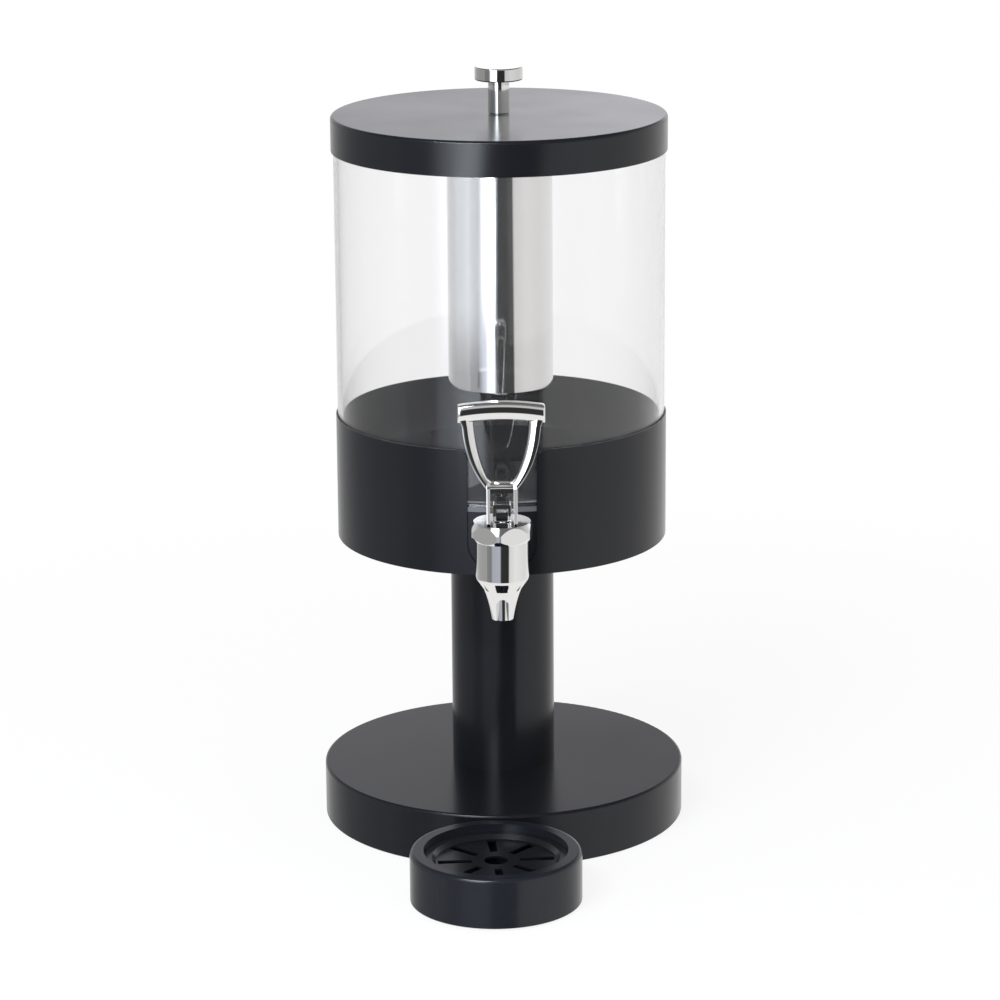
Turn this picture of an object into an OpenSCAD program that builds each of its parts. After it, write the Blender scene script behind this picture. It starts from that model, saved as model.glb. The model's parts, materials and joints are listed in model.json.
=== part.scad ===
// Juice dispenser: a clear tank with a lever tap, standing in a steel holder on a pedestal.
// An ice tube hangs from the lid, and a round drip tray stands loose in front of the base.
// The origin is the middle of the base's underside. The tap points along -Y and +Z is up.

/* [Base] */
// Diameter of the base disc
base_d = 223.5; // [212:0.5:240]
// Height of the base disc above the table
base_h = 33; // [30:1:44]
// Sheet thickness of the base cover
base_wall = 1.5; // [1:0.1:2.5]
// Rounding of the base cover's top edge
base_edge_r = 1.5; // [0.5:0.1:3]
// Thickness of the rubber pad that the base stands on
base_pad_t = 2; // [1.5:0.5:4]
// Height of the base cover's skirt above the table
skirt_gap = 0.5; // [0.3:0.1:1]
// Thickness of the weight in the base
weight_t = 10; // [8:1:16]
// Diameter of the weight's hub under the column
weight_hub_d = 70; // [64:1:90]

/* [Column] */
// Diameter of the column tube
column_d = 63.5; // [60:0.5:76]
// Wall of the column tube
column_wall = 1.5; // [1:0.1:2.5]
// Height of the column between the base and the holder
column_h = 147; // [110:1:180]
// Thickness of the plugs at the column's ends
plug_t = 10; // [8:1:16]
// Flange of the head plug on top of the tube
plug_flange_t = 2; // [1.5:0.5:4]
// Diameter of the bolt that ties the base, column and holder together
tie_d = 8; // [6:1:10]

/* [Holder] */
// Height of the holder sleeve
sleeve_h = 76; // [66:1:90]
// Sheet thickness of the holder sleeve
sleeve_wall = 0.7; // [0.5:0.1:1.5]
// Gap between the tank and the holder sleeve
sleeve_gap = 0.3; // [0.2:0.1:0.8]
// Thickness of the holder floor
holder_floor_t = 2; // [1.5:0.5:4]
// Thickness of the soft ring that the tank stands on
holder_pad_t = 1; // [0.5:0.5:2]
// Width of the soft ring that the tank stands on
holder_pad_w = 12; // [8:1:20]
// Width of the slot that the tap passes through
slot_w = 41; // [38:1:46]
// Room under the tap's washer in the slot
slot_clear = 2.5; // [1.5:0.5:3]
// Rounding of the slot's two top corners
slot_top_r = 6; // [3:1:9]
// Thread diameter of the screws that hold the holder floor
screw_d = 5; // [4:0.5:6]
// Circle that the holder screws stand on
screw_pcd = 36; // [34:1:40]

/* [Tank] */
// Outside diameter of the clear tank tube
tank_d = 200; // [190:1:208]
// Wall of the clear tank tube
tank_wall = 3; // [2.5:0.5:4]
// Length of the clear tank tube
tank_tube_h = 215; // [190:1:240]
// Height of the black tank base up to the clear tube's seal
cup_h = 35.5; // [34:0.5:40]
// Wall of the tank base
cup_wall = 3.5; // [3:0.5:5]
// Floor thickness of the tank base
cup_floor_t = 3; // [2.5:0.5:3.5]
// Height of the tank's inner floor at its back
floor_back_h = 16; // [15:0.5:18]
// Fall of the tank's inner floor towards the tap
floor_fall = 2; // [1:0.5:2.5]
// Height of the ring that centres the clear tube
spigot_h = 5; // [4:0.5:8]
// Thickness of the seal between the clear tube and the tank base
seal_t = 3; // [2:0.5:4]
// Width of the sump at the tap
sump_w = 34; // [32:1:38]
// Length of the sump from front to back
sump_l = 30; // [26:1:40]
// Depth of the flat seat that the tap's washer bears on
spot_depth = 1.5; // [1.2:0.1:2]
// Wall of the tank base at the tap
boss_t = 6; // [5:0.5:8]

/* [Lid] */
// Height of the lid's rim
lid_h = 21; // [17:1:28]
// Sheet thickness of the lid
lid_wall = 0.9; // [0.8:0.1:1.5]
// Gap between the lid's rim and the tank
lid_gap = 0.5; // [0.3:0.1:1]
// Rounding of the lid's top edge
lid_edge_r = 2; // [1:0.5:3]
// Thickness of the liner under the lid
liner_t = 2; // [1.5:0.5:3]
// Depth of the liner's ring inside the tank
liner_ring_h = 8; // [5:1:12]
// Width of the liner's ring
liner_ring_w = 3; // [2:0.5:5]
// Gap between the liner's ring and the tank
liner_gap = 0.4; // [0.3:0.1:1]

/* [Knob] */
// Diameter of the knob's cap
knob_cap_d = 29; // [24:0.5:36]
// Height of the knob's cap
knob_cap_h = 8; // [7:0.5:12]
// Rounding of the knob's cap
knob_edge_r = 0.8; // [0.4:0.1:2]
// Diameter of the knob's stem
knob_stem_d = 13; // [11:0.5:16]
// Height of the neck under the knob's cap
knob_neck_h = 2.5; // [1:0.5:4]
// Height of the knob's stem
knob_stem_h = 18; // [12:0.5:28]
// Thread diameter of the screw that holds the knob
knob_screw_d = 6; // [5:0.5:8]

/* [Ice tube] */
// Diameter of the ice tube
ice_d = 64; // [56:1:72]
// Wall of the ice tube
ice_wall = 0.8; // [0.6:0.1:1.5]
// Length of the ice tube
ice_l = 163; // [120:1:190]
// Rounding of the ice tube's closed end
ice_edge_r = 3; // [2:0.5:6]
// Height of the collar that the ice tube hangs on
collar_h = 14; // [13:1:18]
// Wall of the collar
collar_wall = 3; // [2.5:0.5:4]
// Thickness of the gasket above the ice tube
ice_gasket_t = 2; // [1:0.5:3]
// Diameter of the bayonet pins
bayonet_d = 4; // [3:0.5:5]
// Turn that frees the ice tube
bayonet_turn = 45; // [30:5:60]

/* [Tap body] */
// Distance from the holder's face to the tap's axis
tap_reach = 40; // [34:1:50]
// Diameter of the tap body
tap_body_d = 30.8; // [28:0.2:32]
// Height of the tap body above the shank's axis
tap_body_up = 14.8; // [13.8:0.2:16.4]
// Depth of the round body below the shank's axis
tap_body_down = 8.4; // [8:0.2:10.6]
// Depth of the spout's root below the shank's axis
spout_root = 14.8; // [13:0.2:17]
// Diameter of the spout's root
spout_root_d = 22; // [20:0.5:25]
// Depth of the spout's tip below the shank's axis
spout_tip = 33.2; // [30:0.2:40]
// Diameter of the spout's tip
spout_tip_d = 12.4; // [12:0.2:15]
// Bore of the spout
spout_bore = 9; // [7:0.5:9.5]
// Width of the arched groove in the front of the spout
notch_w = 7; // [5:0.5:7.5]
// Height of the arched groove in the front of the spout
notch_h = 13.8; // [9:0.2:15]
// Bore of the tap's chamber
chamber_d = 20; // [18.5:0.5:22]
// Thread diameter of the shank through the tank's wall
shank_d = 16; // [14:0.5:18]
// Bore of the shank
shank_bore = 9; // [7:0.5:10]
// Diameter of the washer outside the tank
washer_d = 27; // [25:1:28]
// Thickness of the tap's washers
washer_t = 2; // [1.5:0.5:3]
// Thickness of the shank's flange
flange_t = 3; // [2:0.5:5]
// Width across the flats of the lock nut inside the tank
lock_af = 24; // [22:1:26]
// Thickness of the lock nut
lock_h = 6; // [4:0.5:8]

/* [Tap bonnet and stem] */
// Width across the flats of the bonnet
bonnet_af = 33.8; // [32:0.2:36]
// Height of the bonnet's hexagon
bonnet_hex_h = 10.9; // [9.7:0.2:12.9]
// Depth turned off the hexagon's corners
bonnet_corner_cut = 0.7; // [0.4:0.1:1]
// Height of the chamfer turned on the hexagon's upper end
bonnet_chamfer = 4.4; // [2:0.2:5.4]
// Height of the chamfer turned on the hexagon's lower end
bonnet_low_chamfer = 2.8; // [1.6:0.2:4]
// Turn of the hexagon from a corner at the front
bonnet_turn = -6; // [-15:1:15]
// Thread diameter between the bonnet and the body
neck_d = 26; // [25:0.5:27]
// Diameter of the stem
stem_d = 7; // [6:0.5:8]
// Width of the stem's head
stem_head_w = 10.8; // [9:0.2:11]
// Depth of the stem's head from front to back
stem_head_d = 7; // [6:0.5:8]
// Wire of the closing spring
spring_wire = 1.2; // [0.8:0.1:1.4]
// Turns of the closing spring
spring_turns = 5; // [4:0.5:6]

/* [Tap handle] */
// Width of the handle's bar
bar_w = 50.5; // [44:0.5:60]
// Height of the handle's bar
bar_h = 10.7; // [8:0.1:13]
// Depth of the handle's bar from front to back
bar_depth = 8; // [7:0.5:11]
// Rise of the bar's arch at its middle
bar_rise = 2.1; // [1:0.1:4]
// Height of the bar's top above the hinge pin
handle_h = 64.8; // [58:0.2:74]
// Thickness of the handle's arms seen from the front
arm_w = 6; // [4:0.5:7]
// Depth of the handle's arms from front to back
arm_depth = 6.5; // [5:0.5:8]
// Outside width of the handle's fork
fork_w = 18; // [17:0.5:20]
// Thickness of the fork's two cheeks
cheek_t = 2.2; // [1.8:0.1:2.8]
// Diameter of the hinge pin
pin_d = 4; // [3:0.5:5]
// Height of the hinge pin above the bonnet
pin_up = 6.3; // [6:0.1:8]
// Lift of the stem for each radian that the handle turns
cam_rate = 9; // [7:0.5:10]
// Turn of the handle from closed to open
handle_swing = 35; // [25:1:40]

/* [Drip tray] */
// Diameter of the drip tray
tray_d = 101.5; // [94:0.5:120]
// Height of the drip tray
tray_h = 31; // [26:1:38]
// Width of the drip tray's rim
rim_w = 8.25; // [6:0.25:11]
// Rounding of the drip tray's outer top edge
tray_edge_r = 2.5; // [0.5:0.1:3]
// Depth of the grille below the rim
grille_depth = 7; // [5:0.5:9]
// Thickness of the grille
grille_t = 1.2; // [0.8:0.1:1.8]
// Rise of the grille's edge to the flange that it hangs on
grille_rise = 2.5; // [2:0.1:4]
// Width of the grille's sloping edge
grille_slope_w = 2.2; // [1:0.1:3]
// Width of the ledge that carries the grille
ledge_w = 3.6; // [2.4:0.2:4.4]
// Diameter of the grille's middle hole
grille_hole_d = 14; // [10:0.5:18]
// Number of slots around the grille
grille_slots = 8; // [6:1:10]
// Width of the grille's slots
grille_slot_w = 5.4; // [3:0.2:6.4]
// Length of the grille's slots
grille_slot_l = 20; // [14:0.5:21]
// Turn of the grille's slots
grille_turn = 5; // [-10:1:10]
// Sheet thickness of the drip tray
tray_wall = 1.2; // [0.8:0.1:2]
// Thickness of the soft ring under the drip tray
tray_pad_t = 1; // [0.5:0.5:2]
// Width of the soft ring under the drip tray
tray_pad_w = 8; // [4:1:14]
// Place of the drip tray to the left or right of the tap
tray_x = -5; // [-20:1:20]
// Gap between the drip tray and the base
tray_gap = 0.3; // [0.2:0.1:5]

/* [Hidden] */

// Segments of a full circle, of a small bore and of a fillet
round_fn = 120;
bore_fn = 48;
fillet_fn = 48;
// Room in a clearance hole, a running fit, a thread and beside a piece that drops in
hole_room = 0.3;
run_fit = 0.05;
thread_fit = 0.02;
seat_room = 0.3;
// A cut runs this far past the face that it leaves
past = 1;

lacquer = [0.16, 0.16, 0.18];
chrome = [0.82, 0.82, 0.84];
steel = [0.7, 0.7, 0.72];
rubber = [0.1, 0.1, 0.1];
clear = [0.9, 0.9, 0.95, 0.35];
silicone = [0.8, 0.8, 0.85];
plastic = [0.12, 0.12, 0.13];

// Radii of the base, column, tank and holder
base_r = base_d / 2;
base_in_r = base_r - base_wall;
column_r = column_d / 2;
column_in_r = column_r - column_wall;
tank_r = tank_d / 2;
tank_in_r = tank_r - tank_wall;
sleeve_in_r = tank_r + sleeve_gap;
sleeve_r = sleeve_in_r + sleeve_wall;

// Levels of the stand, from the table up
weight_z = base_pad_t;
base_top_in = base_h - base_wall;
holder_z = base_h + column_h;
tie_head_h = 0.7 * tie_d;
tie_head_af = 1.6 * tie_d;
tie_washer_t = 1.6;
tie_washer_r = tie_d;
pocket_r = tie_washer_r + past;
pocket_h = tie_head_h + tie_washer_t + past;
tie_top = holder_z - past;
head_plug_z = holder_z - plug_t;
column_top = holder_z - plug_flange_t;

// Levels of the tank, from its rest in the holder up
cup_z = holder_z + holder_floor_t + holder_pad_t;
cup_in_r = tank_r - cup_wall;
ledge_z = cup_z + cup_h;
tube_z = ledge_z + seal_t;
tube_top = tube_z + tank_tube_h;
spigot_r = tank_in_r - seat_room / 3;

// Levels of the lid, the knob and the ice tube
lid_top = tube_top + liner_t + lid_wall;
lid_in_r = tank_r + lid_gap;
lid_r = lid_in_r + lid_wall;
lid_in_edge_r = max(lid_edge_r - lid_wall, 0.2);
liner_r = lid_in_r - lid_in_edge_r - seat_room;
knob_z = lid_top + knob_stem_h;
cap_z = knob_z + knob_neck_h;
knob_top = cap_z + knob_cap_h;
knob_head_h = 0.6 * knob_screw_d;
collar_z = tube_top - collar_h;
collar_web_t = 4;
ice_r = ice_d / 2;
ice_in_r = ice_r - ice_wall;
ice_top = tube_top - ice_gasket_t;
ice_z = ice_top - ice_l;
collar_r = ice_in_r - seat_room;
bayonet_z = collar_z + bayonet_d / 2 + 2;
bayonet_slot_r = bayonet_d / 2 + seat_room;

// The tap, from the shank's axis outwards
shank_z = cup_z + cup_floor_t + past + lock_af / 2;
tap_y = -(sleeve_r + tap_reach);
spot_y = -(tank_r - spot_depth);
boss_y = spot_y + boss_t;
shank_end = boss_y + washer_t + lock_h + 2;
shank_r = shank_d / 2;
slot_bottom_r = washer_d / 2 + slot_clear;
slot_z = shank_z - slot_bottom_r;
sleeve_top = holder_z + sleeve_h;
body_top = shank_z + tap_body_up;
seat_z = shank_z - chamber_d / 2 - 2.5;
neck_h = 6;
neck_top = body_top + neck_h;
bonnet_top = body_top + bonnet_hex_h;
bonnet_roof = bonnet_top - 2.4;
pin_z = bonnet_top + pin_up;
lift = cam_rate * handle_swing * PI / 180;
stem_flange_z = shank_z - 2;
stem_flange_t = 1.6;
stem_flange_r = 8;
head_up = pin_d / 2 + 2.5;
head_edge_r = 1.2;
cup_seal_h = stem_flange_z - seat_z;
spring_r = 6.2;
spring_z = stem_flange_z + stem_flange_t + spring_wire / 2 + thread_fit;
spring_top = bonnet_roof - spring_wire / 2 - thread_fit;

// The handle, measured from its hinge pin
cross_z = 13.3;
cross_h = 3.3;
lintel_z = 11;
cheek_back = 5;
cheek_front = 8.5;
bar_top = handle_h;
bar_bottom = bar_top - bar_h;
arch_r = (bar_w * bar_w / 4 + bar_rise * bar_rise) / (2 * bar_rise);
arm_top_x = bar_w / 2 - 3;
arm_foot_x = fork_w / 2;
arm_bend = 30;

// The drip tray
tray_r = tray_d / 2;
tray_in_r = tray_r - rim_w;
well_r = tray_in_r - ledge_w;
tray_y = -sqrt(pow(base_r + tray_r + tray_gap, 2) - tray_x * tray_x);
grille_top = tray_h - grille_depth;
grille_z = grille_top - grille_t;
grille_r = tray_in_r - seat_room;
flange_top = grille_top + grille_rise;
ledge_top = flange_top - grille_t;
hang_r = well_r - seat_room;
plate_r = hang_r - grille_slope_w;
slot_out = plate_r - grille_t - past;

// Half outline of a disc with a rounded top edge, for rotate_extrude
module disc_outline(r, z0, z1, edge) {
    translate([0, z0]) square([r, z1 - z0 - edge]);
    translate([0, z0]) square([r - edge, z1 - z0]);
    translate([r - edge, z1 - edge]) circle(r = edge, $fn = fillet_fn);
}

module ring(r_out, r_in, z0, z1) {
    translate([0, 0, z0]) difference() {
        cylinder(r = r_out, h = z1 - z0, $fn = round_fn);
        translate([0, 0, -past]) cylinder(r = r_in, h = z1 - z0 + 2 * past, $fn = round_fn);
    }
}

module bore(r, z0, z1) {
    translate([0, 0, z0]) cylinder(r = r, h = z1 - z0, $fn = bore_fn);
}

module hexagon(af, h) {
    cylinder(r = af / sqrt(3), h = h, $fn = 6);
}

module around(count, pcd) {
    for (i = [0 : count - 1])
        rotate([0, 0, (i + 0.5) * 360 / count]) translate([pcd / 2, 0, 0]) children();
}

// A rod along Y from y0 to y1 at the height z
module rod_y(r, y0, y1, z) {
    translate([0, y1, z]) rotate([90, 0, 0]) cylinder(r = r, h = y1 - y0, $fn = bore_fn);
}

// The stand
module base_cover() {
    color(lacquer) difference() {
        rotate_extrude($fn = round_fn) difference() {
            disc_outline(base_r, skirt_gap, base_h, base_edge_r);
            square([base_in_r, base_top_in]);
        }
        bore(tie_d / 2 + hole_room, base_top_in - past, base_h + past);
    }
}

module base_weight() {
    color(steel) difference() {
        union() {
            bore(base_in_r - seat_room, weight_z, weight_z + weight_t, $fn = round_fn);
            bore(weight_hub_d / 2, weight_z, base_top_in);
        }
        bore(pocket_r, weight_z - past, weight_z + pocket_h);
        bore(tie_d / 2 + hole_room, weight_z, base_top_in + past);
    }
}

module base_pad() {
    color(rubber) cylinder(r = base_in_r - seat_room, h = base_pad_t, $fn = round_fn);
}

module column_tube() {
    color(lacquer) ring(column_r, column_in_r, base_h, column_top);
}

module column_foot_plug() {
    color(steel) difference() {
        bore(column_in_r - run_fit, base_h, base_h + plug_t);
        bore(tie_d / 2 + hole_room, base_h - past, base_h + plug_t + past);
    }
}

module column_head_plug() {
    color(steel) difference() {
        union() {
            bore(column_in_r - run_fit, head_plug_z, holder_z);
            bore(column_r, column_top, holder_z);
        }
        bore(tie_d / 2 + thread_fit, head_plug_z - past, holder_z + past);
        around(4, screw_pcd) bore(screw_d / 2 + thread_fit, head_plug_z - past, holder_z + past);
    }
}

module tie_bolt() {
    color(steel) union() {
        translate([0, 0, weight_z + past]) hexagon(tie_head_af, tie_head_h);
        bore(tie_d / 2, weight_z + past, tie_top);
    }
}

module tie_washer() {
    washer_z = weight_z + past + tie_head_h;
    color(steel) ring(tie_washer_r, tie_d / 2 + hole_room, washer_z, washer_z + tie_washer_t);
}

// The slot is open at the top, so the tank lifts out with its tap
module slot_outline() {
    top = sleeve_top - slot_z;
    straight = slot_w / 2 - slot_bottom_r;
    difference() {
        union() {
            translate([-straight, 0]) square([2 * straight, slot_bottom_r]);
            for (side = [-1, 1])
                translate([side * straight, slot_bottom_r]) circle(r = slot_bottom_r, $fn = bore_fn);
            translate([-slot_w / 2, slot_bottom_r]) square([slot_w, top - slot_bottom_r + past]);
            translate([-slot_w / 2 - slot_top_r, top - slot_top_r])
                square([slot_w + 2 * slot_top_r, slot_top_r + past]);
        }
        for (side = [-1, 1])
            translate([side * (slot_w / 2 + slot_top_r), top - slot_top_r])
                circle(r = slot_top_r, $fn = bore_fn);
    }
}

module holder_sleeve() {
    color(lacquer) difference() {
        ring(sleeve_r, sleeve_in_r, holder_z, sleeve_top);
        translate([0, 0, slot_z]) rotate([90, 0, 0])
            linear_extrude(sleeve_r + past) slot_outline();
    }
}

module holder_floor() {
    color(lacquer) difference() {
        bore(sleeve_in_r, holder_z, holder_z + holder_floor_t, $fn = round_fn);
        around(4, screw_pcd)
            bore(screw_d / 2 + hole_room, holder_z - past, holder_z + holder_floor_t + past);
    }
}

module holder_screws() {
    head_z = holder_z + holder_floor_t;
    color(steel) around(4, screw_pcd) union() {
        bore(0.95 * screw_d, head_z, head_z + 0.55 * screw_d);
        bore(screw_d / 2, head_plug_z + past, head_z + past);
    }
}

module holder_pad() {
    z = holder_z + holder_floor_t;
    color(rubber) ring(tank_r - seat_room, tank_r - holder_pad_w, z, z + holder_pad_t);
}

// The tank
module tank_cylinder() {
    color(clear) ring(tank_r, tank_in_r, tube_z, tube_top);
}

module tank_seal() {
    color(silicone) ring(tank_r, tank_in_r, ledge_z, tube_z);
}

// Everything above the sloping floor, raised by a height
module above_floor(raise) {
    translate([0, cup_in_r, cup_z + floor_back_h + raise]) rotate([floor_fall, 0, 0])
        translate([-tank_d, -1.5 * tank_d, 0]) cube([2 * tank_d, 2 * tank_d, tank_d]);
}

module sump_block(w, y0, y1, z0, z1) {
    translate([-w / 2, y0, z0]) cube([w, y1 - y0, z1 - z0]);
}

module tank_base() {
    sump_back = boss_y + sump_l;
    color(plastic) difference() {
        union() {
            bore(tank_r, cup_z, ledge_z, $fn = round_fn);
            bore(spigot_r, ledge_z - past, ledge_z + spigot_h, $fn = round_fn);
        }
        bore(spigot_r - cup_wall, ledge_z - past, ledge_z + spigot_h + past, $fn = round_fn);
        difference() {
            intersection() {
                bore(cup_in_r, cup_z, ledge_z, $fn = round_fn);
                above_floor(0);
            }
            sump_block(sump_w + 2 * past, -tank_r, boss_y, cup_z, ledge_z + past);
        }
        sump_block(sump_w, boss_y, sump_back, cup_z + cup_floor_t, cup_z + floor_back_h);
        difference() {
            bore(cup_in_r, cup_z - past, ledge_z, $fn = round_fn);
            above_floor(-cup_floor_t);
            sump_block(sump_w + 2 * cup_wall, -tank_r, sump_back + cup_wall, cup_z - past, ledge_z);
        }
        rod_y(shank_r + hole_room / 2, -tank_r - past, boss_y + past, shank_z);
        rod_y(washer_d / 2 + hole_room, -tank_r - past, spot_y, shank_z);
    }
}

// The tap
function bend(a, b, c, steps) = [
    for (i = [0 : steps])
        let (t = i / steps)
        (1 - t) * (1 - t) * a + 2 * t * (1 - t) * b + t * t * c
];

module tap_body_outline() {
    r = tap_body_d / 2;
    root = spout_root_d / 2;
    tip = spout_tip_d / 2;
    corner = [r, -tap_body_down];
    slant = [root, -spout_root] - corner;
    edge = bend(corner + 1.3 * slant / norm(slant), corner, corner + [0, 1.3], 6);
    flare = bend([root, -spout_root], [tip + 1.8, -spout_root - 7.1], [tip, -spout_tip], 8);
    polygon(concat(
        [[0, -spout_tip]],
        [for (i = [len(flare) - 1 : -1 : 0]) flare[i]],
        edge,
        [[r, tap_body_up]],
        [[neck_d / 2, tap_body_up], [neck_d / 2, tap_body_up + neck_h]],
        [[0, tap_body_up + neck_h]]
    ));
}

// An arched groove down to the wall of the outlet
module spout_groove() {
    translate([0, tap_y, shank_z - spout_tip]) difference() {
        rotate([90, 0, 0]) {
            translate([-notch_w / 2, -past, 0])
                cube([notch_w, notch_h - notch_w / 2 + past, spout_root_d]);
            translate([0, notch_h - notch_w / 2, 0])
                cylinder(r = notch_w / 2, h = spout_root_d, $fn = bore_fn);
        }
        bore(spout_bore / 2 + 1, -2 * past, notch_h + past);
    }
}

module tap_body() {
    color(chrome) difference() {
        union() {
            translate([0, tap_y, shank_z]) rotate_extrude($fn = round_fn) tap_body_outline();
            rod_y(shank_r, tap_y + chamber_d / 2 + past, shank_end, shank_z);
            rod_y(washer_d / 2 - past / 2, spot_y - washer_t - flange_t, spot_y - washer_t, shank_z);
        }
        translate([0, tap_y, 0]) {
            bore(chamber_d / 2, seat_z, neck_top + past);
            bore(spout_bore / 2, shank_z - spout_tip - past, seat_z + past);
        }
        rod_y(shank_bore / 2, tap_y, shank_end + past, shank_z);
        spout_groove();
    }
}

module shank_washer(r, y0) {
    difference() {
        rod_y(r, y0, y0 + washer_t, shank_z);
        rod_y(shank_r + run_fit, y0 - past, y0 + washer_t + past, shank_z);
    }
}

module tap_outer_washer() {
    color(rubber) shank_washer(washer_d / 2, spot_y - washer_t);
}

module tap_inner_washer() {
    color(silicone) shank_washer(lock_af / 2, boss_y);
}

module tap_lock_nut() {
    y1 = boss_y + washer_t + lock_h;
    color(steel) difference() {
        translate([0, y1, shank_z]) rotate([90, 0, 0]) hexagon(lock_af, lock_h);
        rod_y(shank_r + thread_fit, boss_y, y1 + past, shank_z);
    }
}

// The hexagon's corners are turned to a cylinder, with a chamfer at both ends
module tap_bonnet() {
    inner = bonnet_af / 2 - hole_room;
    outer = bonnet_af / sqrt(3) - bonnet_corner_cut;
    color(chrome) translate([0, tap_y, 0]) difference() {
        intersection() {
            translate([0, 0, body_top]) rotate([0, 0, -90 + bonnet_turn])
                hexagon(bonnet_af, bonnet_hex_h);
            translate([0, 0, body_top]) rotate_extrude($fn = round_fn) polygon([
                [0, 0], [inner, 0], [outer, bonnet_low_chamfer],
                [outer, bonnet_hex_h - bonnet_chamfer], [inner, bonnet_hex_h], [0, bonnet_hex_h]
            ]);
        }
        bore(neck_d / 2 + thread_fit, body_top - past, neck_top + past / 2);
        bore(chamber_d / 2, neck_top, bonnet_roof);
        bore(stem_d / 2 + run_fit, bonnet_roof - past, bonnet_top + past);
    }
}

module tap_stem() {
    foot = pin_up - hole_room;
    color(chrome) translate([0, tap_y, 0]) difference() {
        union() {
            bore(stem_d / 2, seat_z + 2, bonnet_top + past);
            bore(stem_flange_r, stem_flange_z, stem_flange_z + stem_flange_t);
            translate([0, stem_head_d / 2, pin_z]) rotate([90, 0, 0]) linear_extrude(stem_head_d) {
                translate([-stem_head_w / 2, -pin_up + hole_room])
                    square([stem_head_w, foot + head_up - head_edge_r]);
                translate([-stem_head_w / 2 + head_edge_r, -pin_up + hole_room])
                    square([stem_head_w - 2 * head_edge_r, foot + head_up]);
                for (side = [-1, 1])
                    translate([side * (stem_head_w / 2 - head_edge_r), head_up - head_edge_r])
                        circle(r = head_edge_r, $fn = bore_fn);
            }
        }
        translate([-stem_head_w, 0, pin_z]) rotate([0, 90, 0])
            cylinder(r = pin_d / 2 + run_fit, h = 2 * stem_head_w, $fn = bore_fn);
    }
}

module tap_seat_cup() {
    wide = spout_bore / 2 + 3;
    color(silicone) translate([0, tap_y, seat_z]) difference() {
        rotate_extrude($fn = bore_fn) polygon([
            [0, 0], [wide, 0], [wide, 3], [stem_d / 2 + 1.8, cup_seal_h - thread_fit],
            [0, cup_seal_h - thread_fit]
        ]);
        bore(stem_d / 2 + thread_fit, 2 - thread_fit, cup_seal_h + past);
    }
}

// A round wire wound on a helix
module tap_spring() {
    per_turn = 14;
    sides = 8;
    rings = round(per_turn * spring_turns);
    rise = (spring_top - spring_z) / rings;
    wire = spring_wire / 2;
    points = [
        for (i = [0 : rings], j = [0 : sides - 1])
            let (turn = i * 360 / per_turn, a = j * 360 / sides, r = spring_r + wire * cos(a))
            [r * cos(turn), r * sin(turn), spring_z + i * rise + wire * sin(a)]
    ];
    walls = [
        for (i = [0 : rings - 1], j = [0 : sides - 1])
            let (k = (j + 1) % sides)
            [i * sides + j, (i + 1) * sides + j, (i + 1) * sides + k, i * sides + k]
    ];
    first = [for (j = [0 : sides - 1]) j];
    last = [for (j = [sides - 1 : -1 : 0]) rings * sides + j];
    color(steel) translate([0, tap_y, 0]) polyhedron(points, concat([first], walls, [last]));
}

// Side outline of a fork cheek: its foot is an involute, so the stem rises evenly as it turns
function foot(a) =
    let (reach = pin_up + cam_rate * a * PI / 180)
    [-reach * sin(a) - cam_rate * cos(a), -reach * cos(a) + cam_rate * sin(a)];

module cheek_outline() {
    top = cross_z + cross_h / 2;
    polygon(concat(
        [[cheek_back, top], [cheek_back, -pin_up]],
        [for (a = [0 : handle_swing / 8 : handle_swing + 0.01]) foot(a)],
        [[-cheek_front, top]]
    ));
}

// Front outline of the handle's frame, one half
module frame_half() {
    inner_top = [arm_top_x - arm_w, bar_bottom];
    inner_foot = [arm_foot_x - 0.4 * arm_w, cross_z + cross_h];
    inner_bend = [inner_top[0] - 1.6, arm_bend];
    outer_top = [arm_top_x + 0.6, bar_bottom];
    outer_foot = [arm_foot_x, cross_z];
    outer_bend = [arm_top_x + 0.4, arm_bend];
    polygon(concat(
        [[0, cross_z + cross_h], [0, cross_z]],
        bend(outer_foot, outer_bend, outer_top, 10),
        bend(inner_top, inner_bend, inner_foot, 10)
    ));
}

module bar_outline() {
    middle = bar_top - arch_r;
    intersection() {
        difference() {
            translate([0, middle]) circle(r = arch_r, $fn = 3 * round_fn);
            translate([0, middle]) circle(r = arch_r - bar_h, $fn = 3 * round_fn);
        }
        translate([-bar_w / 2, bar_bottom - 2 * bar_rise]) square([bar_w, bar_h + 3 * bar_rise]);
    }
}

// Draws an XZ outline as a plate of the given depth, centred on the pin
module front_plate(depth) {
    translate([0, depth / 2, 0]) rotate([90, 0, 0]) linear_extrude(depth) children();
}

// Draws a YZ outline as a plate between two places across the handle
module side_plate(x0, x1) {
    translate([x0, 0, 0]) rotate([90, 0, 90]) linear_extrude(x1 - x0) children();
}

module tap_handle() {
    half = fork_w / 2;
    color(chrome) translate([0, tap_y, pin_z]) difference() {
        union() {
            front_plate(bar_depth) bar_outline();
            front_plate(arm_depth) {
                frame_half();
                mirror([1, 0]) frame_half();
            }
            side_plate(-half, -half + cheek_t) cheek_outline();
            side_plate(half - cheek_t, half) cheek_outline();
            side_plate(-half, half) intersection() {
                cheek_outline();
                translate([-arm_depth / 2, lintel_z]) square([2 * cheek_front, 2 * cross_z]);
            }
        }
        translate([-fork_w, 0, 0]) rotate([0, 90, 0])
            cylinder(r = pin_d / 2 + thread_fit, h = 2 * fork_w, $fn = bore_fn);
    }
}

module tap_pin() {
    color(steel) translate([-fork_w / 2, tap_y, pin_z]) rotate([0, 90, 0])
        cylinder(d = pin_d, h = fork_w, $fn = bore_fn);
}

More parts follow.
